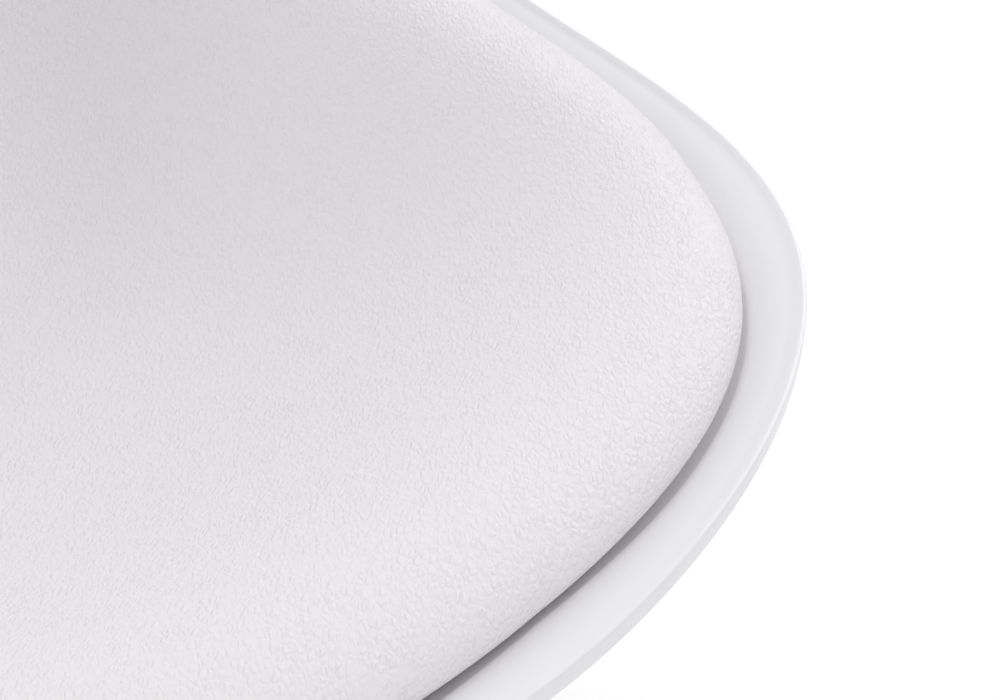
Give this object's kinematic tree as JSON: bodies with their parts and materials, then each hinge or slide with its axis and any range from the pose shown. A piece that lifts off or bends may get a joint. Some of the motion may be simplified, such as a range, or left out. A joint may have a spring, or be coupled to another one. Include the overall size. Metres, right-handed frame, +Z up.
{
  "type": "pedicure stool",
  "caption": "Low rolling stool with a white padded bucket seat and low back on a height-adjustable gas lift, with a chromed star base and twin-wheel castors.",
  "frame": {"origin": "on the floor under the column's axis, which is the middle of the footprint", "axes": "+Z up along the column, the sitter faces -Y, the low back is at +Y, the height lever is at -X (the sitter's right)"},
  "size_m": [0.452, 0.4475, 0.4802],
  "materials": {
    "shell": "white satin moulded polypropylene",
    "pad_leather": "white pebble-grained PU leather, semi-matt",
    "foam": "open-cell polyurethane foam",
    "chrome": "polished chrome plating",
    "zinc_steel": "bright zinc-plated steel",
    "black_steel": "black powder coat, fine texture",
    "black_nylon": "black moulded nylon",
    "brass": "machined brass",
    "rubber": "moulded rubber",
    "acetal": "natural white acetal"
  },
  "bodies": {
    "base": {"base_hub": "chrome", "lift_tube": "chrome", "guide_bush": "acetal", "thrust_bearing": "zinc_steel", "lift_bumper": "rubber", "base_leg_1": "chrome", "base_leg_2": "chrome", "base_leg_3": "chrome", "base_leg_4": "chrome", "base_leg_5": "chrome", "castor_stem_1": "zinc_steel", "castor_stem_2": "zinc_steel", "castor_stem_3": "zinc_steel", "castor_stem_4": "zinc_steel", "castor_stem_5": "zinc_steel"},
    "piston": {"piston_rod": "zinc_steel", "piston_head": "brass", "retaining_clip": "zinc_steel"},
    "seat": {"seat_shell": "shell", "pad_cover": "pad_leather", "pad_foam": "foam", "seat_insert_1": "brass", "seat_insert_2": "brass", "seat_insert_3": "brass", "seat_insert_4": "brass", "seat_bolt_1": "zinc_steel", "seat_bolt_2": "zinc_steel", "seat_bolt_3": "zinc_steel", "seat_bolt_4": "zinc_steel", "mechanism_plate": "black_steel", "lever_channel": "black_steel", "taper_socket": "black_steel", "lever_pin": "zinc_steel", "lift_cylinder": "chrome"},
    "lever": {"lever_rod": "chrome", "lever_handle": "black_nylon"},
    "button": {"release_button": "zinc_steel"},
    "castor_1": {"castor_housing_1": "black_nylon"},
    "wheels_1": {"castor_axle_1": "zinc_steel", "castor_wheel_left_1": "black_nylon", "castor_wheel_right_1": "black_nylon"},
    "castor_2": {"castor_housing_2": "black_nylon"},
    "wheels_2": {"castor_axle_2": "zinc_steel", "castor_wheel_left_2": "black_nylon", "castor_wheel_right_2": "black_nylon"},
    "castor_3": {"castor_housing_3": "black_nylon"},
    "wheels_3": {"castor_axle_3": "zinc_steel", "castor_wheel_left_3": "black_nylon", "castor_wheel_right_3": "black_nylon"},
    "castor_4": {"castor_housing_4": "black_nylon"},
    "wheels_4": {"castor_axle_4": "zinc_steel", "castor_wheel_left_4": "black_nylon", "castor_wheel_right_4": "black_nylon"},
    "castor_5": {"castor_housing_5": "black_nylon"},
    "wheels_5": {"castor_axle_5": "zinc_steel", "castor_wheel_left_5": "black_nylon", "castor_wheel_right_5": "black_nylon"}
  },
  "joints": [
    {"name": "seat_swivel", "type": "hinge", "parent": "base", "child": "piston", "pos_m": [0, 0, 0.0633], "axis": [0, 0, 1], "continuous": true},
    {"name": "seat_height", "type": "slide", "parent": "piston", "child": "seat", "axis": [0, 0, 1], "range_m": [0, 0.1]},
    {"name": "lever_lift", "type": "hinge", "parent": "seat", "child": "lever", "pos_m": [-0.03, 0, 0.305], "axis": [0, 1, 0], "range_deg": [0, 5.5], "stiffness_Nm_per_rad": 6, "springref_deg": -1.72},
    {"name": "button_press", "type": "slide", "parent": "seat", "child": "button", "axis": [0, 0, -1], "range_m": [0, 0.0035]},
    {"name": "castor_swivel_1", "type": "hinge", "parent": "base", "child": "castor_1", "pos_m": [0, 0.215, 0.06], "axis": [0, 0, 1], "continuous": true},
    {"name": "wheel_spin_1", "type": "hinge", "parent": "castor_1", "child": "wheels_1", "pos_m": [0, 0.197, 0.025], "axis": [1, 0, 0], "continuous": true},
    {"name": "castor_swivel_2", "type": "hinge", "parent": "base", "child": "castor_2", "pos_m": [-0.20448, 0.06644, 0.06], "axis": [0, 0, 1], "continuous": true},
    {"name": "wheel_spin_2", "type": "hinge", "parent": "castor_2", "child": "wheels_2", "pos_m": [-0.20448, 0.04844, 0.025], "axis": [1, 0, 0], "continuous": true},
    {"name": "castor_swivel_3", "type": "hinge", "parent": "base", "child": "castor_3", "pos_m": [-0.12637, -0.17394, 0.06], "axis": [0, 0, 1], "continuous": true},
    {"name": "wheel_spin_3", "type": "hinge", "parent": "castor_3", "child": "wheels_3", "pos_m": [-0.12637, -0.19194, 0.025], "axis": [1, 0, 0], "continuous": true},
    {"name": "castor_swivel_4", "type": "hinge", "parent": "base", "child": "castor_4", "pos_m": [0.12637, -0.17394, 0.06], "axis": [0, 0, 1], "continuous": true},
    {"name": "wheel_spin_4", "type": "hinge", "parent": "castor_4", "child": "wheels_4", "pos_m": [0.12637, -0.19194, 0.025], "axis": [1, 0, 0], "continuous": true},
    {"name": "castor_swivel_5", "type": "hinge", "parent": "base", "child": "castor_5", "pos_m": [0.20448, 0.06644, 0.06], "axis": [0, 0, 1], "continuous": true},
    {"name": "wheel_spin_5", "type": "hinge", "parent": "castor_5", "child": "wheels_5", "pos_m": [0.20448, 0.04844, 0.025], "axis": [1, 0, 0], "continuous": true}
  ],
  "couplings": [
    {"joint": "button_press", "follows": "lever_lift", "m_per_rad": 0.0344}
  ]
}
